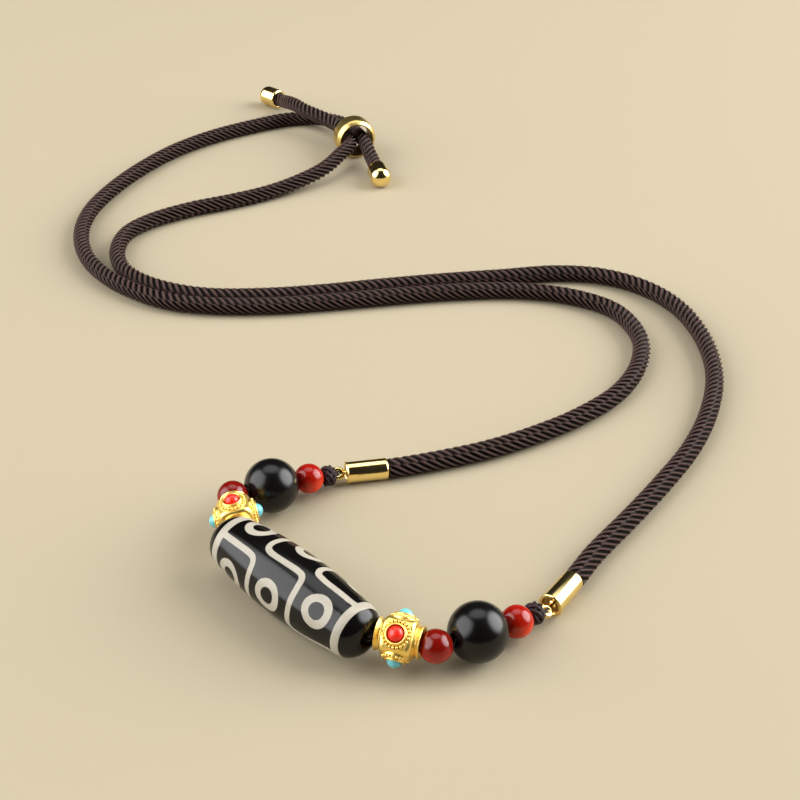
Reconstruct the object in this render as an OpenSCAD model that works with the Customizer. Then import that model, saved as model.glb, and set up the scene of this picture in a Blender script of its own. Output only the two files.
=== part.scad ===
// Cord pendant necklace, laid on a flat surface.
// A barrel bead hangs in the middle of a short strand of round beads, between two metal cord
// caps. Two ropes run back from the caps, cross, and pass side by side through a ring slider.
// Millimetres, +Z up. The origin is under the middle of the bead strand, on the surface.

/* [Barrel bead] */
// Length of the barrel bead along its bore
barrel_len = 38; // [34:0.5:42]
// Diameter of the barrel bead at its middle
barrel_d = 12.2; // [11:0.1:13]
// How far the barrel narrows from its middle to its rounded ends, as a share
barrel_taper = 0.17; // [0.05:0.01:0.25]
// Length of each rounded end
barrel_end = 4.7; // [3:0.1:6]
// Bore of the barrel bead
barrel_bore_d = 1.8; // [1.2:0.1:2.4]

/* [Round beads] */
// Diameter of the two black beads
black_d = 10.3; // [9:0.1:10.3]
// Diameter of the four red beads
red_d = 5.7; // [5:0.1:5.7]
// Bore of the round beads
bead_bore_d = 1.8; // [1.7:0.1:2]
// Diameter of the thread that the beads hang on
thread_d = 0.4; // [0.3:0.05:0.45]

/* [Gold beads] */
// Length of a gold bead between its collar rims
gold_len = 7.7; // [7:0.1:7.7]
// Diameter of the collar rims
gold_rim_d = 5.8; // [5.4:0.1:6]
// Diameter of the barrel between the collars
gold_body_d = 6.8; // [6.4:0.1:7]
// Diameter of each round plate that holds a stone
plate_d = 4.9; // [4.4:0.1:5]
// Distance of a plate's face from the bead's axis
plate_out = 3.65; // [3.5:0.05:3.8]
// Diameter of a stone
stone_d = 2.7; // [2.2:0.1:2.9]
// Distance of a coral's crown from the bead's axis
coral_out = 4.75; // [4.4:0.05:4.9]
// Distance of a turquoise's crown from the bead's axis
turquoise_out = 4.95; // [4.6:0.05:5.2]

/* [Cords and fittings] */
// Diameter of the braided cord
cord_d = 4; // [3.5:0.1:4]
// Outer diameter of the two cord caps
cap_d = 4.2; // [4.1:0.05:4.4]
// Length of a cord cap without its eye
cap_len = 8.2; // [7.5:0.1:8.2]
// Outer diameter of the ring slider
slider_d = 11.2; // [10.8:0.1:12]
// Hole of the ring slider
slider_hole_d = 8.8; // [8.7:0.1:9]
// Length of the ring slider along its hole
slider_len = 6; // [4:0.5:6]
// Outer diameter of the two cord tips
tip_d = 5.6; // [5:0.1:5.8]
// Length of a cord tip
tip_len = 7; // [6:0.1:7.5]

/* [Hidden] */
$fn = 48;
fit = 0.05;             // gap between a piece and its seat
cord_sides = 10;
thread_sides = 8;
coral_red = "#d8261c";
sky = "#5cc4d8";

// Where the beads lie: centre, and for the turned pieces heading and roll in degrees
barrel_at = [-16.9, -11.3, barrel_d / 2];
barrel_heading = -46.3;
left = [
    ["gold", [-28.2, 7.7, 6.0], 102, 9],
    ["red_inner", [-29.4, 13.6, 6.0]],
    ["black", [-22.6, 17.9, black_d / 2]],
    ["red_outer", [-15.9, 22.2, 3.6]],
    ["knot", [-12.4, 24.1, 2.8]],
    ["cap", [-9.1, 26.0, cap_d / 2], 10.5, -45]];
right = [
    ["gold", [1.4, -24.2, 5.8], -17.5, -38],
    ["red_inner", [7.2, -26.0, 5.7]],
    ["black", [14.2, -22.0, black_d / 2]],
    ["red_outer", [20.9, -17.8, 3.6]],
    ["knot", [24.0, -15.0, 2.8]],
    ["cap", [27.0, -12.3, cap_d / 2], 55.9, -32]];
slider_at = [-11.4, 179.5, slider_d / 2];
slider_heading = 108;
tip_left_at = [-4.8, 163.5, tip_d / 2];
tip_left_heading = -78;
tip_right_at = [-34.9, 214, tip_d / 2];
tip_right_heading = 138;

// Rows of the tables above
gold_row = 0;
red_inner_row = 1;
black_row = 2;
red_outer_row = 3;
knot_row = 4;
cap_row = 5;
function place(side, row) = side[row][1];
function heading(side, row) = side[row][2];
function roll(side, row) = side[row][3];

function unit(v) = v / norm(v);
function flat_dir(a) = [cos(a), sin(a), 0];
function way(a, b) = unit(b - a);

// Sizes that follow from the ones above
eye_major = 0.8;        // eye of a cap: ring radius, wire radius, distance from the cap's end
eye_wire = 0.32;
eye_out = 1.5;
loop_wire = 0.28;       // loop of the knot through the eye
loop_major = eye_wire + loop_wire + 0.18;
knot_wrap = 0.6;        // wrap radius and ring radius of the knot
knot_major = 1.3;
knot_half = 1.1;
cap_socket_d = 3.5;
cap_socket = 5.8;
cap_recess = 0.6;
tip_socket_d = cord_d + 2 * fit;
tip_socket = 3.8;
gold_bore_r = 0.8;
funnel_deep = 1.4;      // dished ends of the gold bead
funnel_r = 2.4;
collar_len = 1;
rim_edge = 0.1;
bezel_r = stone_d / 2 + 0.35;
bezel_out = 4.15;
seat_out = 3.1;

// Ropes: route points of each cord's centre line, from its cap to its tip
left_route = [[9.5, 30.5, 2], [19, 34, 2], [28.5, 39, 2], [38, 45.5, 2], [47.5, 55, 2],
    [53, 66, 2], [54.5, 77, 2], [50.5, 88.5, 2], [41.5, 95, 2], [29, 98, 2], [15, 97.5, 2],
    [1, 95.5, 2], [-13, 93, 2], [-27, 91, 2], [-41, 90.8, 2], [-52, 92.8, 2], [-61, 98, 2],
    [-69, 105.5, 2], [-75, 115, 2], [-78.5, 127, 2], [-78.5, 140, 2], [-75, 153, 2],
    [-69, 166.5, 2], [-61, 179, 2], [-51, 189, 2], [-39, 197, 2], [-32.5, 200.4, 2],
    [-27.2, 201.4, 2], [-22.6, 200.4, 2.4], [-18.8, 197.5, 3.1], [-15.1, 193.2, 3.9],
    [-12.4, 188.6, 4.4], [-10.4, 183.1, 4.8], [-9.4, 180.1, 5.1], [-8.4, 177.1, 5],
    [-7, 172, 4], [-5.7, 167.6, 3.1]];
right_route = [[36, 1.5, 2], [43.5, 11.5, 2], [51, 22, 2], [59, 34.5, 2], [65, 48, 2],
    [68.5, 62, 2], [68.5, 77, 2], [65, 90.5, 2], [58.5, 99.5, 2], [49.5, 105, 2],
    [39, 106.5, 2], [25, 104.5, 2], [11, 102.5, 2], [-3, 100, 2], [-17, 97.2, 2], [-30, 95.5, 2],
    [-43, 95.5, 2], [-52, 98, 2], [-59.6, 102.5, 2], [-65.2, 109, 2], [-68, 118, 2],
    [-67, 127.5, 2], [-62, 134.5, 2], [-53, 141, 2], [-42.5, 146, 2], [-33, 151.5, 2],
    [-24.5, 157.5, 2.8], [-19, 163, 3.6], [-15, 170, 4.5], [-12.4, 175.6, 5],
    [-13.4, 178.9, 5.1], [-14.4, 181.9, 5.3], [-15.9, 186, 5.8], [-18.9, 189.7, 6.2],
    [-22.6, 193.2, 6.4], [-26, 196.8, 6.4], [-28.5, 200.5, 6.3], [-30.4, 204, 5.6],
    [-31.9, 207.7, 4.5], [-33, 211.4, 3.2]];

// A cord starts in its cap's socket, on the cap's axis, and ends in its tip's socket
function cap_line(side, out) = place(side, cap_row) + out * flat_dir(heading(side, cap_row));
function cord_line(side, route, tip, tip_heading) = concat(
    [cap_line(side, cap_len - 5), cap_line(side, cap_len), cap_line(side, cap_len + 2)],
    route, [tip, tip + (tip_socket - fit) * flat_dir(tip_heading)]);
function cord_radii(count) = [for (i = [0 : count - 1])
    i < 2 ? cap_socket_d / 2 - fit : cord_d / 2];

// Thread: it runs through every bore and turns beside the mouths. Each inner red bead halves the
// bend of the strand, and each black bead turns its bore towards the thread that comes in.
turn_out = 0.1;         // how far outside a mouth, or inside it, the thread turns
turn_in = 0.5;
function bore_mouths(at, dir, half) = [at - half * dir, at + half * dir];
function inner_dir(side) = unit(way(place(side, gold_row), place(side, red_inner_row))
    + way(place(side, red_inner_row), place(side, black_row)));
function black_dir(side) = way(place(side, red_inner_row) + red_d / 2 * inner_dir(side),
    place(side, red_outer_row));
function outer_dir(side) = way(place(side, black_row), place(side, knot_row));
function side_thread(side) = let (
    gold = place(side, gold_row), gold_dir = flat_dir(heading(side, gold_row)),
    dish = gold_len / 2 - funnel_deep,
    outer = place(side, red_outer_row), knot = place(side, knot_row))
    concat(
        [gold - (dish + turn_out) * gold_dir, gold + (dish - turn_in / 2) * gold_dir],
        bore_mouths(place(side, red_inner_row), inner_dir(side), red_d / 2 + turn_out),
        bore_mouths(place(side, black_row), black_dir(side), black_d / 2 - turn_in),
        [outer - (red_d / 2 - turn_in) * outer_dir(side),
            knot - (knot_half / 2 + knot_wrap + turn_out) * way(outer, knot)]);
function backwards(list) = [for (i = [len(list) - 1 : -1 : 0]) list[i]];
barrel_dir = flat_dir(barrel_heading);
thread_points = concat(backwards(side_thread(left)),
    bore_mouths(barrel_at, barrel_dir, barrel_len / 2 + 0.35), side_thread(right));

// Half outline of the barrel bead: a shallow arc, then a rounded end
barrel_exponent = 2.4;
arc_half = barrel_len / 2 - barrel_end;
function arc_r(s) = barrel_d / 2 * (1 - barrel_taper * pow(s / arc_half, 2));
function end_r(s) = arc_r(arc_half)
    * pow(1 - pow((s - arc_half) / barrel_end, barrel_exponent), 1 / barrel_exponent);
arc_steps = 8;
end_steps = 10;
half_outline = concat(
    [for (i = [0 : arc_steps]) let (s = arc_half * i / arc_steps) [arc_r(s), s]],
    [for (i = [1 : end_steps]) let (s = arc_half + barrel_end * sin(86 * i / end_steps))
        [end_r(s), s]]);
function flipped(list) = [for (p = backwards(list)) if (p[1] > 0) [p[0], -p[1]]];

// Puts a child that is built along +X where the table says
module lay(at, turn = 0, rolled = 0) {
    translate(at) rotate([0, 0, turn]) rotate([-rolled, 0, 0]) children();
}

// Turns a child that is built along +X to a direction in space
module aimed(at, dir) {
    translate(at) rotate([0, 0, atan2(dir[1], dir[0])]) rotate([0, -asin(dir[2]), 0]) children();
}

// A solid of revolution about +X, from a half outline [radius, place along X]
module turned(outline) {
    rotate([0, 90, 0]) rotate_extrude() polygon(outline);
}

module rod(r, from, to) {
    translate([from, 0, 0]) rotate([0, 90, 0]) cylinder(r = r, h = to - from);
}

// A tube swept along points, with one ring of corners at each point
function tangent(p, i) = unit(p[min(i + 1, len(p) - 1)] - p[max(i - 1, 0)]);
function sideways(t) = unit(cross([0, 0, 1], t));
function ring(p, i, r, sides) = let (t = tangent(p, i), s = sideways(t), u = cross(t, s))
    [for (k = [0 : sides - 1]) let (a = 360 * k / sides) p[i] + r * (cos(a) * s + sin(a) * u)];
module tube(p, radii, sides) {
    last = len(p) - 1;
    corners = [for (i = [0 : last]) each ring(p, i, radii[i], sides)];
    skin = [for (i = [0 : last - 1]) for (k = [0 : sides - 1]) let (n = (k + 1) % sides)
        [i * sides + k, (i + 1) * sides + k, (i + 1) * sides + n, i * sides + n]];
    start = [for (k = [0 : sides - 1]) k];
    end = [for (k = [sides - 1 : -1 : 0]) last * sides + k];
    polyhedron(corners, concat(skin, [start, end]), convexity = 10);
}

module thread() {
    color("#2c2022") tube(thread_points, [for (p = thread_points) thread_d / 2], thread_sides);
}

module pendant_bead() {
    color("#26221f") lay(barrel_at, barrel_heading) difference() {
        turned(concat([[0, -barrel_len / 2]], flipped(half_outline), half_outline,
            [[0, barrel_len / 2]]));
        rod(barrel_bore_d / 2, -barrel_len, barrel_len);
    }
}

module round_bead(at, dir, d, tint) {
    color(tint) aimed(at, dir) rotate([0, 90, 0]) difference() {
        sphere(d = d);
        cylinder(d = bead_bore_d, h = 2 * d, center = true);
    }
}

module black_bead(side) {
    round_bead(place(side, black_row), black_dir(side), black_d, "#1b1a1a");
}

module red_bead_inner(side) {
    round_bead(place(side, red_inner_row), inner_dir(side), red_d, "#9c1c12");
}

module red_bead_outer(side) {
    round_bead(place(side, red_outer_row), outer_dir(side), red_d, "#b5250f");
}

// Gold bead: flared collars with dished ends, a barrel, and four plates with tube bezels
module gold_bead(side) {
    end = gold_len / 2;
    neck = end - collar_len;
    rim_r = gold_rim_d / 2;
    body_r = gold_body_d / 2;
    half = [[body_r, 0], [body_r - 0.15, neck - 0.6], [body_r - 0.5, neck],
        [rim_r - 0.45, neck + rim_edge], [rim_r - 0.3, end - 0.5], [rim_r, end - 2 * rim_edge],
        [rim_r - rim_edge, end]];
    color("#e0ac3c") lay(place(side, gold_row), heading(side, gold_row), roll(side, gold_row))
        difference() {
            union() {
                turned(concat([[0, -end]], flipped(half), half, [[0, end]]));
                for (k = [0 : 3]) rotate([90 * k, 0, 0]) {
                    cylinder(d = plate_d, h = plate_out);
                    cylinder(r = bezel_r, h = bezel_out);
                }
            }
            for (k = [0 : 3]) rotate([90 * k, 0, 0])
                translate([0, 0, seat_out]) cylinder(d = stone_d + 2 * fit, h = 2);
            rod(gold_bore_r, -end - 1, end + 1);
            for (turn = [0, 180]) rotate([0, 0, turn])
                turned([[0, end - funnel_deep - 0.01], [gold_bore_r, end - funnel_deep], [funnel_r, end],
                    [funnel_r, end + 1], [0, end + 1]]);
        }
}

// Stone: a short round foot in the bezel under a domed crown
module stone(side, turn, out, tint) {
    foot = seat_out + fit;
    girdle = bezel_out - 0.1;
    r = stone_d / 2;
    steps = 6;
    crown = [for (i = [0 : steps]) let (a = 90 * i / steps)
        [r * cos(a), girdle + (out - girdle) * sin(a)]];
    color(tint) lay(place(side, gold_row), heading(side, gold_row), roll(side, gold_row) + turn)
        rotate_extrude() polygon(concat([[0, foot], [r, foot]], crown));
}

// Knot: wraps of thread round a core, with a stem and a small loop through the cap's eye
module knot(side) {
    at = place(side, knot_row);
    eye_at = cap_line(side, -eye_out);
    loop_end = cap_line(side, -eye_out - eye_major - loop_major);
    color("#2c2022") {
        aimed(at, way(place(side, red_outer_row), place(side, cap_row))) {
            rod(knot_major, -knot_half, knot_half);
            for (s = [-knot_half / 2, knot_half / 2]) translate([s, 0, 0]) rotate([0, 90, 0])
                rotate_extrude() translate([knot_major, 0]) circle(r = knot_wrap);
        }
        aimed(at, way(at, loop_end)) rod(0.5, 0, norm(loop_end - at));
        lay(eye_at, heading(side, cap_row), roll(side, cap_row))
            translate([-eye_major, 0, 0]) rotate([90, 0, 0])
                rotate_extrude() translate([loop_major, 0]) circle(r = loop_wire);
    }
}

// Cord cap: a tube closed at the eye's end, where a wire eye stands on a post in a shallow recess
module cap(side) {
    r = cap_d / 2;
    edge = 0.25;
    lip = 0.5;
    outline = [[0, cap_recess], [r - lip, cap_recess], [r - lip, edge], [r - edge, 0], [r, edge],
        [r, cap_len - edge], [r - edge, cap_len], [cap_socket_d / 2, cap_len],
        [cap_socket_d / 2, cap_len - cap_socket], [0, cap_len - cap_socket]];
    color("#e3b34a") lay(place(side, cap_row), heading(side, cap_row), roll(side, cap_row)) {
        turned(outline);
        translate([-eye_out, 0, 0]) rotate_extrude() translate([eye_major, 0]) circle(r = eye_wire);
        rod(0.4, eye_major - eye_out - 0.1, cap_recess + 0.3);
    }
}

module cord(side, route, tip, tip_heading) {
    p = cord_line(side, route, tip, tip_heading);
    color("#3a2a2c") tube(p, cord_radii(len(p)), cord_sides);
}

// Ring slider: a short tube with rounded edges that both ropes pass through
module slider() {
    inner = slider_hole_d / 2;
    outer = slider_d / 2;
    end = slider_len / 2;
    edge = 0.5;
    half = [[outer, 0], [outer, end - edge], [outer - edge, end], [inner + edge / 2, end],
        [inner, end - edge]];
    color("#e3b34a") lay(slider_at, slider_heading) turned(concat(flipped(half), half));
}

// Cord tip: a short cup with a domed end
module tip(at, turn) {
    r = tip_d / 2;
    dome = r * 0.8;
    steps = 8;
    outline = concat([[tip_socket_d / 2, tip_socket], [tip_socket_d / 2, 0], [r - 0.25, 0], [r, 0.25]],
        [for (i = [0 : steps]) let (a = 90 * i / steps)
            [r * cos(a), tip_len - dome + dome * sin(a)]], [[0, tip_socket]]);
    color("#e3b34a") lay(at, turn) turned(outline);
}

pendant_bead();
gold_bead(left);  // gold_bead_left
gold_bead(right);  // gold_bead_right
stone(left, 0, coral_out, coral_red);  // coral_left_1
stone(left, 180, coral_out, coral_red);  // coral_left_2
stone(right, 0, coral_out, coral_red);  // coral_right_1
stone(right, 180, coral_out, coral_red);  // coral_right_2
stone(left, 90, turquoise_out, sky);  // turquoise_left_1
stone(left, 270, turquoise_out, sky);  // turquoise_left_2
stone(right, 90, turquoise_out, sky);  // turquoise_right_1
stone(right, 270, turquoise_out, sky);  // turquoise_right_2
red_bead_inner(left);  // red_bead_left_inner
red_bead_outer(left);  // red_bead_left_outer
red_bead_inner(right);  // red_bead_right_inner
red_bead_outer(right);  // red_bead_right_outer
black_bead(left);  // black_bead_left
black_bead(right);  // black_bead_right
thread();
knot(left);  // knot_left
knot(right);  // knot_right
cap(left);  // cap_left
cap(right);  // cap_right
cord(left, left_route, tip_left_at, tip_left_heading);  // cord_left
cord(right, right_route, tip_right_at, tip_right_heading);  // cord_right
slider();
tip(tip_left_at, tip_left_heading);  // tip_left
tip(tip_right_at, tip_right_heading);  // tip_right
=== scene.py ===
import math

import bpy
import numpy as np
from mathutils import Matrix, Vector


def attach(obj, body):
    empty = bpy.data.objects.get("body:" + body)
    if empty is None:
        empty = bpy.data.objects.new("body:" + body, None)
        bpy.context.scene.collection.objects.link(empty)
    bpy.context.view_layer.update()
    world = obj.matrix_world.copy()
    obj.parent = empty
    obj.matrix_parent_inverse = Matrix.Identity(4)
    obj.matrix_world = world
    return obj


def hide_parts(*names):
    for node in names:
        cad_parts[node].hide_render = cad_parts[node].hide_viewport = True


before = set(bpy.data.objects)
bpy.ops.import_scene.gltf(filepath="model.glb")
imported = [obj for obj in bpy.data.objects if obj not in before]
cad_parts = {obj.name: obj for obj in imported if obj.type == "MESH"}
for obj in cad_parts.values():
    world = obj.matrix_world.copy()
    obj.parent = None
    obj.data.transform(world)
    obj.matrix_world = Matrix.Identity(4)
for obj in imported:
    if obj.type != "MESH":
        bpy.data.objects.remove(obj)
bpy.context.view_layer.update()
scene = bpy.context.scene
scene.view_settings.view_transform = "Standard"
print("frame loaded:", len(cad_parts), "nodes")

# camera, set before anything else is made
view = {
    "place": (0.0014, -0.1992, 0.168),
    "pitch": 33.5,      # degrees below the horizon
    "lens": 65.25,
    "sensor": 36,
    "near": 0.01,
}

cameraData = bpy.data.cameras.new("camera")
cameraData.lens = view["lens"]
cameraData.sensor_width = view["sensor"]
cameraData.clip_start = view["near"]
camera = bpy.data.objects.new("camera", cameraData)
camera.location = view["place"]
camera.rotation_euler = (math.radians(90 - view["pitch"]), 0, 0)
scene.collection.objects.link(camera)
scene.camera = camera
print("camera set")


class Wire:
    # an output socket; sums, differences and products of wires add their own Math nodes
    def __init__(self, finish, socket):
        self.finish = finish
        self.socket = socket

    def maths(self, kind, first, second):
        return self.finish.add("ShaderNodeMath", {"operation": kind}, {0: first, 1: second})

    def __add__(self, other):
        return self.maths("ADD", self, other)

    def __radd__(self, other):
        return self.maths("ADD", other, self)

    def __sub__(self, other):
        return self.maths("SUBTRACT", self, other)

    def __rsub__(self, other):
        return self.maths("SUBTRACT", other, self)

    def __mul__(self, other):
        return self.maths("MULTIPLY", self, other)

    def __rmul__(self, other):
        return self.maths("MULTIPLY", other, self)


class Finish:
    # one material: constants go on the shader's own sockets, the rest is wired in
    def __init__(self, name, constants):
        self.material = bpy.data.materials.new(name)
        self.material.use_nodes = True
        self.tree = self.material.node_tree
        self.shader = self.tree.nodes["Principled BSDF"]
        for socket, value in constants.items():
            self.shader.inputs[socket].default_value = value

    def add(self, kind, settings, sockets, out=0):
        node = self.tree.nodes.new(kind)
        for name, value in settings.items():
            setattr(node, name, value)
        for name, value in sockets.items():
            self.join(value, node.inputs[name])
        return Wire(self, node.outputs[out])

    def join(self, value, socket):
        if isinstance(value, Wire):
            self.tree.links.new(value.socket, socket)
        else:
            socket.default_value = value

    def feed(self, name, value):
        self.join(value, self.shader.inputs[name])

    def blend(self, share, first, second):
        return self.add("ShaderNodeMix", {"data_type": "RGBA"}, {0: share, 6: first, 7: second}, 2)

    def limit(self, value, low, high):
        return self.add("ShaderNodeMapRange", {"interpolation_type": "SMOOTHSTEP"},
                        {0: value, 1: low, 2: high, 3: 0.0, 4: 1.0})

    def spot(self):
        return self.add("ShaderNodeTexCoord", {}, {}, "Object")

    def grain(self, scale, detail, warp=0.0):
        return self.add("ShaderNodeTexNoise", {},
                        {"Vector": self.spot(), "Scale": scale, "Detail": detail, "Distortion": warp})

    def reading(self, name):
        return self.add("ShaderNodeAttribute", {"attribute_name": name}, {}, "Fac")

    def relief(self, height, strength, distance):
        bump = self.add("ShaderNodeBump", {},
                        {"Height": height, "Strength": strength, "Distance": distance})
        self.feed("Normal", bump)


class Heap:
    # points and faces of several shapes that end up in one mesh, with a reading at each point
    def __init__(self):
        self.points = []
        self.faces = []
        self.marks = []
        self.count = 0

    def put(self, points, faces, matrix=None, mark=0.0):
        points = np.asarray(points, float)
        if matrix is not None:
            m = np.array(matrix)
            points = points @ m[:3, :3].T + m[:3, 3]
        self.points.append(points)
        self.faces += [[i + self.count for i in f] for f in faces]
        self.marks.append(np.broadcast_to(mark, len(points)))
        self.count += len(points)

    def piece(self, name, node, finish, reading="mark"):
        # the piece itself, which stands for one node
        mesh = bpy.data.meshes.new(name)
        mesh.from_pydata(np.concatenate(self.points).tolist(), [], self.faces)
        mesh.update()
        mesh.shade_smooth()
        marks = np.concatenate(self.marks).astype(np.float32)
        mesh.attributes.new(reading, "FLOAT", "POINT").data.foreach_set("value", marks)
        mesh.materials.append(finish.material)
        obj = bpy.data.objects.new(name, mesh)
        scene.collection.objects.link(obj)
        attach(obj, "root")
        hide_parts(node)
        return obj


def turned(degrees, axis):
    return Matrix.Rotation(math.radians(degrees), 4, axis)


def lay(at, turn, roll=0.0):
    # puts a shape that is made along +X where the frame has it
    return Matrix.Translation(at) @ turned(turn, "Z") @ turned(-roll, "X")


def aim(at, to):
    # the same, for a shape that looks from one point at another
    way = Vector(to) - Vector(at)
    return Matrix.Translation(at) @ way.to_track_quat("X", "Z").to_matrix().to_4x4()


def ringed(where, x):
    # puts a hoop round the X axis of a shape, at x
    return where @ Matrix.Translation((x, 0, 0)) @ turned(90, "Y")


def ahead(place, turn, distance):
    # the point that lies at a distance from a place, in its heading
    a = math.radians(turn)
    return (place[0] + distance * math.cos(a), place[1] + distance * math.sin(a), place[2])


def circle(sides):
    return np.linspace(0, 2 * np.pi, sides, endpoint=False)


def spin(outline, sides):
    # turns an outline of (place along X, radius) round the X axis; a radius of 0 closes it
    angles = circle(sides)
    points, rows = [], []
    for x, r in outline:
        start = len(points)
        points += [(x, r * math.sin(a), r * math.cos(a)) for a in angles] if r > 0 else [(x, 0, 0)]
        rows.append(list(range(start, len(points))))
    faces = []
    for a, b in zip(rows, rows[1:]):
        for k in range(sides):
            n = (k + 1) % sides
            if len(a) == 1:
                faces.append([a[0], b[n], b[k]])
            elif len(b) == 1:
                faces.append([a[k], a[n], b[0]])
            else:
                faces.append([a[k], a[n], b[n], b[k]])
    return points, faces


def rounded(outline, radius, steps=4):
    # the same outline with its inner corners rounded off
    most = 0.45     # of the side before or after a corner
    out = [outline[0]]
    for before, corner, after in zip(outline, outline[1:], outline[2:]):
        c = Vector(corner)
        a, b = Vector(before) - c, Vector(after) - c
        cut = min(radius, a.length * most, b.length * most)
        a, b = c + a.normalized() * cut, c + b.normalized() * cut
        for k in range(steps + 1):
            t = k / steps
            out.append(tuple(a * (1 - t) ** 2 + c * 2 * t * (1 - t) + b * t * t))
    return out + [outline[-1]]


def dome(foot, top, radius, steps):
    # outline of a domed end, from its foot to its closed top
    angles = np.linspace(0, math.pi / 2, steps, endpoint=False)
    return [(foot + (top - foot) * math.sin(a), radius * math.cos(a)) for a in angles] + [(top, 0)]


def hoop(major, minor, around, across):
    # a torus in the XY plane
    points, faces = [], []
    for i, a in enumerate(circle(around)):
        for j, b in enumerate(circle(across)):
            r = major + minor * math.cos(b)
            points.append((r * math.cos(a), r * math.sin(a), minor * math.sin(b)))
            m, n = (i + 1) % around, (j + 1) % across
            faces.append([i * across + j, m * across + j, m * across + n, i * across + n])
    return points, faces


def ball(radius, rows=8, sides=12):
    angles = np.linspace(0, math.pi, rows + 1)[1:-1]
    outline = [(-radius * math.cos(a), radius * math.sin(a)) for a in angles]
    return spin([(-radius, 0)] + outline + [(radius, 0)], sides)


def gridFaces(rings, sides):
    faces = []
    for a in range(0, (rings - 1) * sides, sides):
        for k in range(sides):
            n, b = (k + 1) % sides, a + sides
            faces.append([a + k, a + n, b + n, b + k])
    return faces


def carried(line):
    # directions up and out at each point, carried along the line without twisting
    along = np.gradient(line, axis=0)
    along /= np.linalg.norm(along, axis=1)[:, None]
    up = np.zeros_like(line)
    steep = abs(along[0][2]) > 0.9
    v = np.array((1.0, 0.0, 0.0) if steep else (0.0, 0.0, 1.0))
    for i, t in enumerate(along):
        v = v - t * v.dot(t)
        v /= np.linalg.norm(v)
        up[i] = v
    return up, np.cross(along, up)


def tube(line, radius, angles):
    # a closed-ended tube along points; angles are those of one ring or of each ring,
    # and radius is one number or one for each point of each ring
    line = np.asarray(line, float)
    up, out = carried(line)
    rings, sides = len(line), angles.shape[-1]
    spokes = np.cos(angles)[..., None] * up[:, None] + np.sin(angles)[..., None] * out[:, None]
    points = line[:, None] + np.broadcast_to(radius, (rings, sides))[..., None] * spokes
    ends = [list(range(sides))[::-1], list(range((rings - 1) * sides, rings * sides))]
    return points.reshape(-1, 3), gridFaces(rings, sides) + ends


def smoothLine(points, step, between=40):
    # an even, smooth line through the points
    p = np.asarray(points, float)
    p = np.vstack([2 * p[0] - p[1], p, 2 * p[-1] - p[-2]])
    dense = []
    for a, b, c, d in zip(p, p[1:], p[2:], p[3:]):
        t0 = 0.0
        t1 = t0 + np.linalg.norm(b - a) ** 0.5
        t2 = t1 + np.linalg.norm(c - b) ** 0.5
        t3 = t2 + np.linalg.norm(d - c) ** 0.5
        for t in np.linspace(t1, t2, between, endpoint=False):
            x = (t1 - t) / (t1 - t0) * a + (t - t0) / (t1 - t0) * b
            y = (t2 - t) / (t2 - t1) * b + (t - t1) / (t2 - t1) * c
            z = (t3 - t) / (t3 - t2) * c + (t - t2) / (t3 - t2) * d
            v = (t2 - t) / (t2 - t0) * x + (t - t0) / (t2 - t0) * y
            w = (t3 - t) / (t3 - t1) * y + (t - t1) / (t3 - t1) * z
            dense.append((t2 - t) / (t2 - t1) * v + (t - t1) / (t2 - t1) * w)
    dense.append(p[-2])
    dense = np.array(dense)
    run = np.concatenate([[0], np.cumsum(np.linalg.norm(np.diff(dense, axis=0), axis=1))])
    places = np.linspace(0, run[-1], max(2, round(run[-1] / step)) + 1)
    return np.stack([np.interp(places, run, dense[:, k]) for k in range(3)], axis=1)


def lineLength(line):
    return float(np.linalg.norm(np.diff(line, axis=0), axis=1).sum())


# where the beads lie, in metres: centre, and for some of them heading and roll
strand = {
    "barrel": ((-0.0169, -0.0113, 0.0061), -46.3),
    "left": {
        "gold": ((-0.0282, 0.0077, 0.006), 102, 9),
        "redInner": (-0.0294, 0.0136, 0.006),
        "black": (-0.0226, 0.0179, 0.00515),
        "redOuter": (-0.0159, 0.0222, 0.0036),
        "knot": (-0.0124, 0.0241, 0.0028),
        "cap": ((-0.0091, 0.026, 0.0021), 10.5, -45),
    },
    "right": {
        "gold": ((0.0014, -0.0242, 0.0058), -17.5, -38),
        "redInner": (0.0072, -0.026, 0.0057),
        "black": (0.0142, -0.022, 0.00515),
        "redOuter": (0.0209, -0.0178, 0.0036),
        "knot": (0.024, -0.015, 0.0028),
        "cap": ((0.027, -0.0123, 0.0021), 55.9, -32),
    },
}
sides = ("left", "right")


def capPoint(side, distance):
    place, turn, roll = strand[side]["cap"]
    return ahead(place, turn, distance)


# polished metal of the caps and tips, and the slider's satin metal
metal = {
    "polished": ((0.92, 0.68, 0.24, 1), (1.0, 0.8, 0.36, 1)),
    # painted shade: the dark golden brown of the hollow round each cap's eye
    "recessShade": (0.42, 0.24, 0.07, 1),
    "satin": ((0.6, 0.42, 0.13, 1), (0.75, 0.56, 0.2, 1)),
}
polishFinish = Finish("polished gold", {"Metallic": 1.0})
smear = polishFinish.grain(300, 2.0)
plated = polishFinish.blend(smear, *metal["polished"])
# painted shade, where the recess reading marks the hollow round the eye
recessShade = polishFinish.limit(polishFinish.reading("recess"), 0.2, 0.9)
polishFinish.feed("Base Color", polishFinish.blend(recessShade, plated, metal["recessShade"]))
polishFinish.feed("Roughness", 0.1 + 0.08 * smear)

satinFinish = Finish("satin gold", {"Metallic": 1.0, "Roughness": 0.3})
brushed = satinFinish.grain(300, 2.0)
satinFinish.feed("Base Color", satinFinish.blend(brushed, *metal["satin"]))

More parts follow.
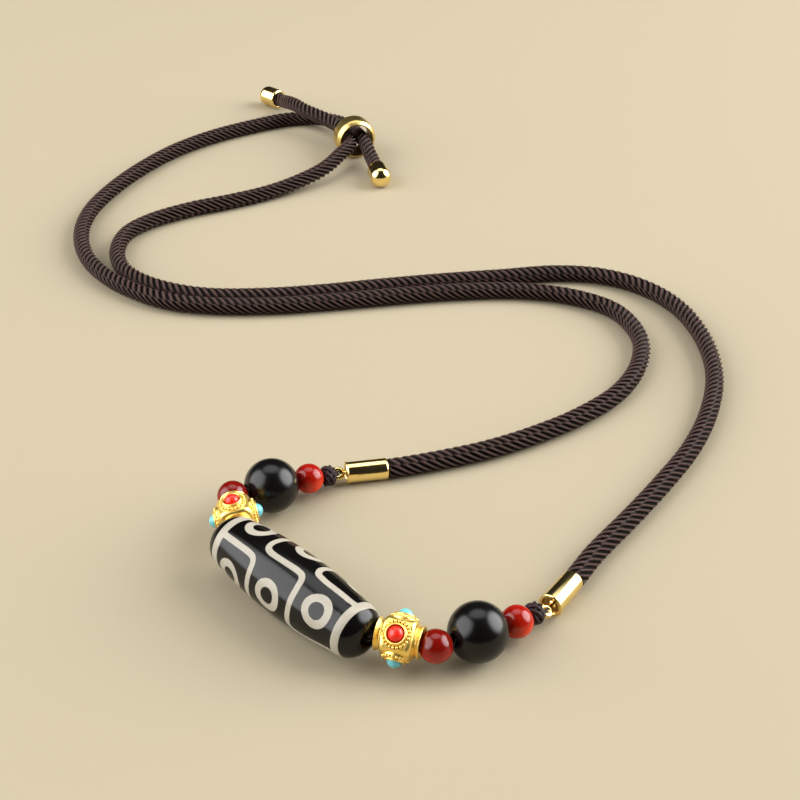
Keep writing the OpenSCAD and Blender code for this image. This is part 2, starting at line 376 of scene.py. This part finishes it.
# the cord caps, which are made after the beads; the cords and the knots fit them
cap = {
    "radius": 0.0021,
    "length": 0.0082,
    "recess": (0.0006, 0.0005),             # depth of the hollow round the eye, and the wall round it
    "front": ((0.0001, -0.00045), (0, -0.0002), (0.0002, 0)),   # from the front edge: along, outwards
    "back": ((-0.00025, 0), (0, -0.0002)),                      # the same from the back edge
    "edge": 0.00012,                        # rounding of the edges
    # the painted shade of the hollow round the eye lies between these places
    "shadeZone": (0.0003, 0.001, 0.0004),        # between which places along, and how far within the side
    "socket": (0.00175, 0.0058),            # radius and depth
    "lip": (0.00205, 0.00022),              # rolled rim: ring and its wire
    "eye": (0.00084, 0.00051, 0.0015),      # ring, wire, distance out
    "stem": (0.00042, 0.0008, 0.0002),      # radius at the eye and at the foot, rounding
    "sink": (0.0001, 0.0002),               # how far the stem goes in, and the height of its foot
}


def capPiece(side):
    r, length = cap["radius"], cap["length"]
    recess, wall = cap["recess"]
    bore, deep = cap["socket"]
    ring, wire, out = cap["eye"]
    near, far, within = cap["shadeZone"]
    where = lay(*strand[side]["cap"])
    heap = Heap()

    shell = [(recess, 0), (recess, r - wall)] + [(x, r + fall) for x, fall in cap["front"]]
    shell += [(length + x, r + fall) for x, fall in cap["back"]]
    shell += [(length, bore), (length - deep, bore), (length - deep, 0)]
    points, faces = spin(rounded(shell, cap["edge"]), 144)
    # painted shade marks on the floor of the hollow round the eye
    marks = [float(near < x < far and math.hypot(y, z) < r - within) for x, y, z in points]
    heap.put(points, faces, where, marks)

    lip, lipWire = cap["lip"]
    heap.put(*hoop(lip, lipWire, 128, 16), ringed(where, lipWire))
    heap.put(*hoop(ring, wire, 72, 24), where @ Matrix.Translation((-out, 0, 0)))

    thin, thick, edge = cap["stem"]
    sink, foot = cap["sink"]
    start, stop = ring - out - sink, recess + sink
    stem = [(start, 0), (start, thin), (recess - foot, thin), (stop, thick), (stop, 0)]
    heap.put(*spin(rounded(stem, edge), 40), where)
    heap.piece("cord_cap_" + side, "cap_" + side, polishFinish, "recess")


# the tips on the cords' free ends
tip = {
    "radius": 0.0028,
    "length": 0.007,
    "socket": (0.0038, 0.00205),    # depth and radius
    "bevel": 0.0003,
    "straight": 0.001,              # where the plain side starts
    "edge": 0.00012,                # rounding of the edges
    "dome": 0.85,                   # length of the domed end, in radii
    # where each one lies and its heading
    "left": ((-0.0048, 0.1635, 0.0028), -78),
    "right": ((-0.0349, 0.214, 0.0028), 138),
}


def tipPiece(side):
    r, length, bevel = tip["radius"], tip["length"], tip["bevel"]
    deep, bore = tip["socket"]
    mouth = [(deep, 0), (deep, bore), (0, bore), (0, r - bevel), (bevel, r), (tip["straight"], r)]
    outline = rounded(mouth, tip["edge"], 3) + dome(length - r * tip["dome"], length, r, 28)
    heap = Heap()
    heap.put(*spin(outline, 96), lay(*tip[side]))
    return heap.piece("cord_tip_" + side, "tip_" + side, polishFinish, "recess")


# the slider, a short ring with soft chamfers
sliderRing = {
    "outer": 0.0056,
    "inner": 0.0044,
    "length": 0.006,
    "chamfer": 0.0011,
    "rim": (0.00035, 0.0001),       # how far the hole widens at its mouth, and over what length
    "edge": 0.00045,
    "at": ((-0.0114, 0.1795, 0.0056), 108),
}


def sliderPiece():
    s = sliderRing
    outer, inner, half = s["outer"], s["inner"], s["length"] / 2
    wide, deep = s["rim"]
    front = [(0, inner), (half - deep, inner), (half, inner + wide),
             (half - s["chamfer"], outer), (0, outer)]
    outline = front + [(-x, r) for x, r in front[-2::-1]]
    heap = Heap()
    heap.put(*spin(rounded(outline, s["edge"], 6), 144), lay(*s["at"]))
    return heap.piece("ring_slider", "slider", satinFinish)


tipPieces = {side: tipPiece(side) for side in sides}
slider = sliderPiece()
print("tips and slider made")

# braided cords: the route of each one, from its cap to its tip
rope = {
    "diameter": 0.004,
    "groove": 0.00052,      # depth between two ribs
    "pitch": 0.00176,       # from one rib to the next, along the cord
    "columns": 4,           # columns of ribs round the cord
    "lean": (2.25, 1.25),   # how far a rib runs along, in pitches, while it crosses its column
    "overlap": 0.1,         # how far ribs reach into the next column
    "crest": 1.5,           # above 1 makes narrow ribs and wide slits
    "turn": {"left": 40, "right": 20},      # degrees from the top to a column's edge
    "step": 0.0005,
    "sides": 108,
    "inCap": (0.0017, 0.005),       # radius and length inside the cap
    "swell": (0.0049, 0.0004),      # where it starts to get its full width, and over what length
    "straight": 0.002,              # how far it runs straight on from the cap
    "inTip": 0.00375,
    "gap": 0.00002,                 # clear of what it touches
    "strands": ((0.036, 0.0195, 0.016, 1), (0.09, 0.057, 0.0485, 1)),
    # colour of the painted shade in the slits between the ribs
    "slitShade": (0.002, 0.0007, 0.0004, 1),
}
leftRoute = [
    (0.0095, 0.0305, 0.002), (0.019, 0.034, 0.002), (0.0285, 0.039, 0.002), (0.038, 0.0455, 0.002),
    (0.0475, 0.055, 0.002), (0.053, 0.066, 0.002), (0.0545, 0.077, 0.002), (0.0505, 0.0885, 0.002),
    (0.0415, 0.095, 0.002), (0.029, 0.098, 0.002), (0.015, 0.0975, 0.002), (0.001, 0.0955, 0.002),
    (-0.013, 0.093, 0.002), (-0.027, 0.091, 0.002), (-0.041, 0.0908, 0.002), (-0.052, 0.0928, 0.002),
    (-0.061, 0.098, 0.002), (-0.069, 0.1055, 0.002), (-0.075, 0.115, 0.002), (-0.0785, 0.127, 0.002),
    (-0.0785, 0.14, 0.002), (-0.075, 0.153, 0.002), (-0.069, 0.1665, 0.002), (-0.061, 0.179, 0.002),
    (-0.051, 0.189, 0.002), (-0.039, 0.197, 0.002), (-0.0325, 0.2004, 0.002), (-0.0272, 0.2014, 0.002),
    (-0.0226, 0.2004, 0.0024), (-0.0188, 0.1975, 0.0031), (-0.0151, 0.1932, 0.0039),
    (-0.0124, 0.1886, 0.0044), (-0.0104, 0.1831, 0.0048), (-0.0094, 0.1801, 0.0051),
    (-0.0084, 0.1771, 0.005), (-0.007, 0.172, 0.004), (-0.0057, 0.1676, 0.0031)]
rightRoute = [
    (0.036, 0.0015, 0.002), (0.0435, 0.0115, 0.002), (0.051, 0.022, 0.002), (0.059, 0.0345, 0.002),
    (0.065, 0.048, 0.002), (0.0685, 0.062, 0.002), (0.0685, 0.077, 0.002), (0.065, 0.0905, 0.002),
    (0.0585, 0.0995, 0.002), (0.0495, 0.105, 0.002), (0.039, 0.1065, 0.002), (0.025, 0.1045, 0.002),
    (0.011, 0.1025, 0.002), (-0.003, 0.1, 0.002), (-0.017, 0.0972, 0.002), (-0.03, 0.0955, 0.002),
    (-0.043, 0.0955, 0.002), (-0.052, 0.098, 0.002), (-0.0596, 0.1025, 0.002), (-0.0652, 0.109, 0.002),
    (-0.068, 0.118, 0.002), (-0.067, 0.1275, 0.002), (-0.062, 0.1345, 0.002), (-0.053, 0.141, 0.002),
    (-0.0425, 0.146, 0.002), (-0.033, 0.1515, 0.002), (-0.0245, 0.1575, 0.0028), (-0.019, 0.163, 0.0036),
    (-0.015, 0.17, 0.0045), (-0.0124, 0.1756, 0.005), (-0.0134, 0.1789, 0.0051),
    (-0.0144, 0.1819, 0.0053), (-0.0159, 0.186, 0.0058), (-0.0189, 0.1897, 0.0062),
    (-0.0226, 0.1932, 0.0064), (-0.026, 0.1968, 0.0064), (-0.0285, 0.2005, 0.0063),
    (-0.0304, 0.204, 0.0056), (-0.0319, 0.2077, 0.0045), (-0.033, 0.2114, 0.0032)]

cordFinish = Finish("braided cord", {"Roughness": 0.5, "Specular IOR Level": 0.06})
fibre = cordFinish.grain(2600, 2.0)
brown = cordFinish.blend(fibre, *rope["strands"])
# painted shade: the slits between the ribs are coloured near black
slitShade = cordFinish.limit(cordFinish.reading("deep"), 0.15, 0.5)
cordFinish.feed("Base Color", cordFinish.blend(slitShade, brown, rope["slitShade"]))
cordFinish.relief(fibre, 0.35, 0.00008)


def eased(share):
    share = np.clip(share, 0, 1)
    return share * share * (3 - 2 * share)


def ribs(u, z):
    # height of the braid, 0 to 1, u columns round the cord and z metres along it
    best = np.zeros(np.broadcast(u, z).shape)
    lap, columns = rope["overlap"], rope["columns"]
    for extra in (-1, 0, 1):
        column = np.floor(u) + extra
        across = u - column
        reach = eased((across + lap) / lap) * eased((1 + lap - across) / lap)
        lean = np.where(column % 2 < 0.5, *rope["lean"])
        phase = z / rope["pitch"] - lean * across + (column % columns) / columns
        best = np.maximum(best, reach * np.abs(np.sin(np.pi * phase)) ** rope["crest"])
    return best


def braid(side, route, name):
    length = cap["length"]
    narrow, inside = rope["inCap"]
    start, growth = rope["swell"]
    place, heading = tip[side]
    points = [capPoint(side, length + x) for x in (-inside, 0, rope["straight"])]
    points += route + [place, ahead(place, heading, rope["inTip"])]
    line = smoothLine(points, rope["step"])
    run = np.linspace(0, lineLength(line), len(line))[:, None]
    # the rings turn as they go, so that the mesh follows the ribs
    twist = 2 * np.pi / rope["columns"] / (sum(rope["lean"]) / 2 * rope["pitch"])
    angles = circle(rope["sides"]) + twist * run
    height = ribs((angles - math.radians(rope["turn"][side])) / (2 * np.pi) * rope["columns"], run)
    full = rope["diameter"] / 2 - rope["groove"] * (1 - height)
    free = np.clip((run - start) / growth, 0, 1)
    radii = narrow - rope["gap"] + (full - narrow) * free
    heap = Heap()
    # the depth of each point below the ribs' crests, for the painted shade in the slits
    heap.put(*tube(line, radii, angles), mark=(1 - height).ravel())
    obj = heap.piece(name, "cord_" + side, cordFinish, "deep")
    capPoint(side, length)
    print(name, "is", round(lineLength(line) * 1000), "mm long")


braid("left", leftRoute, "braided_cord_left")
braid("right", rightRoute, "braided_cord_right")

# gold beads: a squarish body, four stepped plates with granules, flared collars
goldBead = {
    "length": 0.0077,
    "width": 0.0032,            # half of it
    "squareness": 3.4,
    "straight": 0.0019,         # half length of the body's straight part
    "neck": 0.0028,             # half length of the body
    "fall": 0.00055,            # from the body's side to its end
    "flare": ((-0.0004, 0.00235), (0.0001, 0.0024), (0.0004, 0.00245)),     # from the neck: along, radius
    "collar": 0.00285,          # radius of the flared end
    "rim": ((-0.00035, -0.0002), (-0.00012, 0), (0, -0.00012)),     # from its edge: along, outwards
    "dish": (0.00235, 0.0014),  # radius and depth
    "bore": 0.0008,
    "edge": 0.00016,
    "band": (0.00255, 0.00013, 0.00005),            # ring and wire round the neck, distance out
    # outline of a plate: height over the bead's axis, radius
    "plate": ((0.0024, 0), (0.0024, 0.00246), (0.0032, 0.00246), (0.00328, 0.00241), (0.00314, 0.00239),
              (0.00304, 0.0022), (0.00308, 0.00194), (0.00335, 0.00193), (0.0036, 0.00188),
              (0.00366, 0.00178), (0.00366, 0.00156), (0.0036, 0.0015), (0.0032, 0.00147), (0.0032, 0)),
    # where the plates get painted shade: the channel round the granules and the plate under the stone
    "shadeZone": ((0.0019, 0.0024, 0.0032), (0, 0.0015, 0.0034)),        # between two radii, below a height
    "granules": (0.00217, 0.00028, 22, 0.00338),    # ring, size, count, height
    "bezel": (0.00164, 0.0002, 0.00378),            # ring, wire, height
    "yellow": ((0.96, 0.61, 0.125, 1), (1.0, 0.77, 0.26, 1)),
    # painted shade in the channel round the granules and on the plate under the stone
    "hollowShade": (0.05, 0.02, 0.003, 1),
}
goldFinish = Finish("granulated gold", {"Metallic": 1.0})
worn = goldFinish.grain(900, 3.0)
# painted shade, where the hollow reading marks the plates' channel and the plate under the stone
hollow = goldFinish.limit(goldFinish.reading("hollow"), 0.2, 0.9)
yellow = goldFinish.blend(worn, *goldBead["yellow"])
goldFinish.feed("Base Color", goldFinish.blend(hollow, yellow, goldBead["hollowShade"]))
goldFinish.feed("Roughness", 0.29 + 0.12 * worn)
goldFinish.relief(worn, 0.25, 0.00008)


def squarish(rows=49, around=112):
    g = goldBead
    points = []
    for x in np.linspace(-g["neck"], g["neck"], rows):
        t = max(0.0, (abs(x) - g["straight"]) / (g["neck"] - g["straight"]))
        drop = math.sqrt(max(0.0, 1 - t * t))
        n, a = 2 + (g["squareness"] - 2) * drop, g["width"] - g["fall"] * (1 - drop)
        for w in circle(around):
            r = a / (abs(math.cos(w)) ** n + abs(math.sin(w)) ** n) ** (1 / n)
            points.append((x, r * math.sin(w), r * math.cos(w)))
    return points, gridFaces(rows, around)


def goldPiece(side):
    g = goldBead
    where = lay(*strand[side]["gold"])
    heap = Heap()
    heap.put(*squarish(), where)

    end, neck, rim = g["length"] / 2, g["neck"], g["collar"]
    dish, deep = g["dish"]
    band, bandWire, bandOut = g["band"]
    flare = [(neck + x, r) for x, r in g["flare"]] + [(end + x, rim + r) for x, r in g["rim"]]
    flare += [(end, dish), (end - deep, g["bore"]), (0, g["bore"])]
    for turn in (0, 180):
        half = where @ turned(turn, "Z")
        heap.put(*spin(rounded(flare, g["edge"]), 112), half)
        heap.put(*hoop(band, bandWire, 96, 10), ringed(half, neck + bandOut))

    granules, size, count, high = g["granules"]
    bezel, wire, top = g["bezel"]
    points, faces = spin(g["plate"], 72)
    # painted shade marks on the channel round the granules and under the stone
    marks = [float(any(low < math.hypot(y, z) < far and x < level for low, far, level in g["shadeZone"]))
             for x, y, z in points]
    for roll in (0, 90, 180, 270):
        plate = where @ turned(roll, "X") @ turned(-90, "Y")
        heap.put(points, faces, plate, marks)
        for a in circle(count) + math.pi / count:
            spot = (high, granules * math.sin(a), granules * math.cos(a))
            heap.put(*ball(size), plate @ Matrix.Translation(spot))
        heap.put(*hoop(bezel, wire, 96, 14), ringed(plate, top))
    heap.piece("gold_bead_" + side + "_work", "gold_bead_" + side, goldFinish, "hollow")


for side in sides:
    goldPiece(side)
print("gold beads made")

# cabochons
stone = {
    "radius": 0.00132,
    "foot": 0.0032,             # all heights are over the bead's axis
    "edge": 0.0001,
    "girdle": 0.0036,
    "top": {"coral": 0.00475, "turquoise": 0.00495},
    "rolls": {"coral": (0, 180), "turquoise": (90, 270)},       # degrees round the bead
    "coral": ((0.6, 0.012, 0.006, 1), (0.76, 0.03, 0.014, 1)),
    "turquoise": ((0.07, 0.36, 0.4, 1), (0.2, 0.56, 0.6, 1)),
}
coralFinish = Finish("coral", {"Roughness": 0.24, "Subsurface Weight": 0.3, "Subsurface Scale": 0.0006,
                               "Subsurface Radius": (1.0, 0.2, 0.1)})
coralFinish.feed("Base Color", coralFinish.blend(coralFinish.grain(700, 2.0), *stone["coral"]))
turquoiseFinish = Finish("turquoise", {"Roughness": 0.28, "Subsurface Weight": 0.2,
                                       "Subsurface Scale": 0.0005})
vein = turquoiseFinish.grain(1100, 4.0)
turquoiseFinish.feed("Base Color", turquoiseFinish.blend(vein, *stone["turquoise"]))


def cabochon(kind, side, number, finish):
    r, foot, edge = stone["radius"], stone["foot"], stone["edge"]
    outline = [(foot, 0), (foot, r - edge), (foot + edge, r)]
    outline += dome(stone["girdle"], stone["top"][kind], r, 14)
    place, turn, roll = strand[side]["gold"]
    where = lay(place, turn, roll + stone["rolls"][kind][number - 1])
    heap = Heap()
    heap.put(*spin(outline, 64), where @ turned(-90, "Y"))
    node = f"{kind}_{side}_{number}"
    heap.piece(node + "_stone", node, finish)


for side in sides:
    for kind, finish in (("coral", coralFinish), ("turquoise", turquoiseFinish)):
        for number in (1, 2):
            cabochon(kind, side, number, finish)
print("cabochons set")

# round beads
roundBead = {
    "black": 0.0103,
    "red": 0.0057,
    "bore": 0.0009,
    "edge": 0.00015,
    "blacks": ((0.002, 0.0018, 0.0017, 1), (0.005, 0.0045, 0.004, 1)),
    # colour at the top and at the foot of the red beads; the brighter foot is painted glow
    "deepRed": ((0.15, 0.004, 0.002, 1), (0.3, 0.012, 0.006, 1)),
    "brightRed": ((0.28, 0.007, 0.003, 1), (0.6, 0.038, 0.006, 1)),
}
blackFinish = Finish("black stone", {"Specular IOR Level": 0.3})
cloud = blackFinish.grain(120, 3.0)
blackFinish.feed("Base Color", blackFinish.blend(cloud, *roundBead["blacks"]))
blackFinish.feed("Roughness", 0.16 + 0.08 * cloud)
blackFinish.relief(blackFinish.grain(900, 2.0), 0.06, 0.0001)


def redFinish(name, top, foot):
    # painted glow: the foot of a clear bead is coloured brighter, for light that enters at the top and
    # glows there
    finish = Finish(name, {"Roughness": 0.09, "Specular IOR Level": 0.35, "Subsurface Weight": 0.6,
                           "Subsurface Scale": 0.0015, "Subsurface Radius": (1.0, 0.1, 0.03)})
    band = finish.grain(160, 2.0, 1.0)
    low = finish.limit(0.35 * (band - 0.5) - finish.reading("height"), -0.65, 0.35)
    finish.feed("Base Color", finish.blend(low, top, foot))
    return finish


innerFinish = redFinish("deep red stone", *roundBead["deepRed"])
outerFinish = redFinish("bright red stone", *roundBead["brightRed"])


def bead(node, at, to, diameter, finish):
    r, bore, edge = diameter / 2, roundBead["bore"], roundBead["edge"]
    start = math.asin((bore + edge) / r)
    mouth = r * math.cos(start) - 2 * edge
    arc = [(-r * math.cos(a), r * math.sin(a)) for a in np.linspace(start, math.pi - start, 49)]
    points, faces = spin([(0, bore), (-mouth, bore)] + arc + [(mouth, bore), (0, bore)], 96)
    where = aim(at, to)
    heap = Heap()
    # heights over the middle, which the red finishes use for their painted glow
    heap.put(points, faces, where, np.array(points) @ np.array(where)[2, :3] / r)
    heap.piece(node + "_stone", node, finish, "height")


def halved(a, b, c):
    # which way a bore through b looks, so that it halves the bend between a and c
    return (Vector(b) - Vector(a)).normalized() + (Vector(c) - Vector(b)).normalized()


for side in sides:
    s = strand[side]
    gold, inner, black, outer, knot = s["gold"][0], s["redInner"], s["black"], s["redOuter"], s["knot"]
    red, way = roundBead["red"], halved(gold, inner, black)
    mouth = Vector(inner) + way.normalized() * red / 2
    through = Vector(black) + Vector(outer) - mouth
    beyond = Vector(outer) + Vector(knot) - Vector(black)
    bead(f"red_bead_{side}_inner", inner, Vector(inner) + way, red, innerFinish)
    bead(f"black_bead_{side}", black, through, roundBead["black"], blackFinish)
    bead(f"red_bead_{side}_outer", outer, beyond, red, outerFinish)
print("round beads made")

# barrel bead with its inlaid lines and eyes
barrel = {
    "length": 0.038,
    "radius": 0.0061,
    "taper": 0.17,                  # how much thinner it is where its round ends start
    "end": 0.0047,                  # length of a round end
    "exponent": 2.4,                # above 2 makes blunt ends
    "bore": 0.0009,
    "mouth": (0.00015, 0.0004),     # how far the bore widens at its ends, and over what length
    "short": 0.00004,               # the mesh stops this far from the point of an end
    "rows": (40, 150),              # in an end and in the middle
    # from here on in millimetres and degrees
    "rings": ((-15.0, 0.75), (16.05, 0.71)),        # place along, half width
    "eyes": ((-10.2, 98), (0.4, 77), (11.0, 48)),   # place along, turn from the top to the front
    "eye": (2.22, 0.72),                            # ring, half width
    "line": 0.56,                                   # half width
    "bend": 1.1,
    # one of the three lines: place along, turn from the top to the front
    "path": ((-15, 35), (-7, 35), (-5.6, 37.5), (-4.9, 46), (-4.8, 66), (-4.9, 100), (-5, 120), (-4.6, 131),
             (-3.3, 135), (-1, 134.5), (3.1, 132.5), (4.6, 133.5), (5.4, 142), (5.7, 160), (5.7, 200),
             (5.6, 223), (6.3, 235), (8.5, 237), (12, 235), (16, 233)),
    "clear": 9.0,                                   # farther than any spot is from a line
    "cream": ((0.31, 0.28, 0.225, 1), (0.4, 0.365, 0.3, 1)),
    "black": (0.003, 0.0027, 0.0025, 1),
}


def barrelRadius(s):
    # half outline of the barrel, in metres from its middle
    b = barrel
    arc = b["length"] / 2 - b["end"]
    s = abs(s)
    r = b["radius"] * (1 - b["taper"] * (min(s, arc) / arc) ** 2)
    if s > arc:
        r *= max(0.0, 1 - ((s - arc) / b["end"]) ** b["exponent"]) ** (1 / b["exponent"])
    return r


def halfTurn(angle):
    # the same angle, from -180 to 180 degrees
    return (angle + 180) % 360 - 180


def inlay(s, angle, radius):
    # how far a spot lies outside the light lines, in millimetres; below 0 is inside them
    away = np.full(s.shape, barrel["clear"])
    for place, half in barrel["rings"]:
        away = np.minimum(away, np.abs(s - place) - half)
    ring, half = barrel["eye"]
    degree = math.radians(1) * barrel["radius"] * 1000      # in millimetres round the barrel
    corners = [(along, turn * degree) for along, turn in barrel["path"]]
    path = [(along, far / degree) for along, far in rounded(corners, barrel["bend"])]
    for third in (-120, 0, 120):
        for place, at in barrel["eyes"]:
            turn = np.radians(halfTurn(angle - at - third))
            away = np.minimum(away, np.abs(np.hypot(s - place, turn * radius) - ring) - half)
        for (s0, a0), (s1, a1) in zip(path, path[1:]):
            turn = np.radians(halfTurn(angle - (a0 + a1) / 2 - third))
            dx, dy = s1 - s0, np.radians(a1 - a0) * radius
            px, py = s - (s0 + s1) / 2, turn * radius
            share = np.clip((px * dx + py * dy) / (dx * dx + dy * dy), -0.5, 0.5)
            away = np.minimum(away, np.hypot(px - share * dx, py - share * dy) - barrel["line"])
    return away


inlayFinish = Finish("patterned stone", {"Specular IOR Level": 0.27})
edge = inlayFinish.reading("inlay") + 0.1 * (inlayFinish.grain(350, 2.0) - 0.5)
mask = inlayFinish.limit(edge, -0.05, 0.05)
cream = inlayFinish.blend(inlayFinish.grain(500, 4.0), *barrel["cream"])
inlayFinish.feed("Base Color", inlayFinish.blend(mask, cream, barrel["black"]))
inlayFinish.feed("Roughness", 0.2 - 0.06 * mask)


def barrelPiece():
    b = barrel
    bore, half = b["bore"], b["length"] / 2
    wide, deep = b["mouth"]
    arc, stop = half - b["end"], half - b["short"]
    few, many = b["rows"]
    lengths = np.concatenate([np.linspace(-stop, -arc, few, endpoint=False),
                              np.linspace(-arc, arc, many, endpoint=False),
                              np.linspace(arc, stop, few + 1)])
    outside = [(s, barrelRadius(s)) for s in lengths if barrelRadius(s) > bore + wide]
    inside = outside[-1][0] - deep
    points, faces = spin([(0, bore), (-inside, bore)] + outside + [(inside, bore), (0, bore)], 200)
    x, y, z = np.array(points).T * 1000
    radius = np.hypot(y, z)
    away = inlay(x, np.degrees(np.arctan2(-y, z)), radius)
    away[radius < bore * 1000 + 0.01] = b["clear"]      # the bore stays black
    heap = Heap()
    heap.put(points, faces, lay(*strand["barrel"]), away)
    heap.piece("patterned_bead", "pendant_bead", inlayFinish, "inlay")


barrelPiece()
print("barrel bead made")

for side in sides:
    capPiece(side)
print("caps made")

# knots of waxed thread
knotStyle = {
    "size": (0.0017, 0.00095),      # radius and half length of the woven ball
    "strand": 0.00031,
    "weave": 0.00017,               # how far a strand goes over and under
    "turns": (5, 7),                # strands side by side and bends round the edge
    "shoulder": 0.28,               # how much narrower the ball is at its ends
    "uneven": (0.1, 0.05),          # along and outwards
    "steps": 700,
    "core": (0.0015, 0.7),          # radius, and its length against it
    "loop": (0.00078, 0.0003),      # ring and wire
    "stem": 0.0005,
    "brown": ((0.008, 0.0033, 0.004, 1), (0.036, 0.019, 0.021, 1)),
}
threadFinish = Finish("waxed thread", {"Roughness": 0.5, "Specular IOR Level": 0.25})
ply = threadFinish.grain(2200, 3.0)
threadFinish.feed("Base Color", threadFinish.blend(ply, *knotStyle["brown"]))
threadFinish.relief(ply, 0.6, 0.0002)


def wovenBall():
    # a woven knot round the X axis; each strand goes over and under in turn
    radius, half = knotStyle["size"]
    rounds, bends = knotStyle["turns"]
    shift, swell = knotStyle["uneven"]
    line = []
    for t in np.linspace(0, 2 * math.pi, knotStyle["steps"] + 1):
        swing = math.sin(bends * t)
        r = radius * (1 - knotStyle["shoulder"] * swing ** 2) + knotStyle["weave"] * math.sin(2 * bends * t)
        r *= 1 + swell * math.sin(4 * t)
        x = half * swing * (1 + shift * math.sin(2 * t + 1))
        line.append((x, r * math.sin(rounds * t), r * math.cos(rounds * t)))
    return tube(line, knotStyle["strand"], circle(12))


def knotPiece(side):
    knot = strand[side]["knot"]
    place, turn, roll = strand[side]["cap"]
    ring, wire, out = cap["eye"]
    core, flat = knotStyle["core"]
    loop, loopWire = knotStyle["loop"]
    where = aim(knot, place)
    eye = lay(capPoint(side, -out), turn, roll)
    heap = Heap()
    heap.put(*ball(core, 16, 24), where @ Matrix.Diagonal((flat, 1, 1, 1)))
    heap.put(*wovenBall(), where)
    heap.put(*hoop(loop, loopWire, 40, 12), eye @ Matrix.Translation((-ring, 0, 0)) @ turned(90, "X"))
    heap.put(*tube([knot, capPoint(side, -out - ring - loop)], knotStyle["stem"], circle(10)))
    heap.piece("tied_knot_" + side, "knot_" + side, threadFinish)


for side in sides:
    knotPiece(side)

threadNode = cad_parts["thread"]
threadNode.data.materials.clear()
threadNode.data.materials.append(threadFinish.material)
print("knots tied")

# plain floor and soft studio light
studio = {
    "floor": (0.335, 0.288, 0.2, 1),
    "size": 3.0,
    "world": (0.02, 0.02, 0.021, 1),
    "middle": (0.0, 0.06, 0.0),
    "distance": 1.3,
    "fade": 0.4,       # where a panel starts to fade towards its edge, from its middle
    "panels": {
        # direction, width and height, brightness
        "rightPanel": ((0.86, 0.15, 0.48), (2.05, 2.0), 9.5),
        "leftPanel": ((-0.83, -0.16, 0.51), (2.45, 2.55), 5.3),
        "topPanel": ((-0.02, 0.33, 0.945), (1.9, 1.3), 2.6),
    },
}
floorFinish = Finish("floor", {"Roughness": 0.9, "Specular IOR Level": 0.1, "Base Color": studio["floor"]})


def board(name, width, height, finish):
    # a flat rectangle that isn't part of the necklace
    x, y = width / 2, height / 2
    mesh = bpy.data.meshes.new(name)
    mesh.from_pydata([(-x, -y, 0), (x, -y, 0), (x, y, 0), (-x, y, 0)], [], [[0, 1, 2, 3]])
    mesh.materials.append(finish.material)
    obj = bpy.data.objects.new(name, mesh)
    scene.collection.objects.link(obj)
    return obj


board("floor", 2 * studio["size"], 2 * studio["size"], floorFinish)
world = bpy.data.worlds.new("studio")
scene.world = world
world.use_nodes = True
world.node_tree.nodes["Background"].inputs["Color"].default_value = studio["world"]
for name, (way, (width, height), power) in studio["panels"].items():
    glow = Finish(name, {"Base Color": (0, 0, 0, 1), "Roughness": 1.0, "Specular IOR Level": 0.0,
                         "Emission Strength": power})
    place = glow.add("ShaderNodeVectorMath", {"operation": "MULTIPLY"},
                     {0: glow.spot(), 1: (2 / width, 2 / height, 0)})
    away = glow.add("ShaderNodeVectorMath", {"operation": "LENGTH"}, {0: place}, "Value")
    shade = glow.limit(away, studio["fade"], 1.0)
    glow.feed("Emission Color", glow.blend(shade, (1, 1, 1, 1), (0, 0, 0, 1)))
    panel = board(name, width, height, glow)
    panel.location = Vector(studio["middle"]) + Vector(way).normalized() * studio["distance"]
    panel.rotation_euler = (-Vector(way)).to_track_quat("-Z", "Y").to_euler()
    panel.visible_camera = False
print("studio lit")
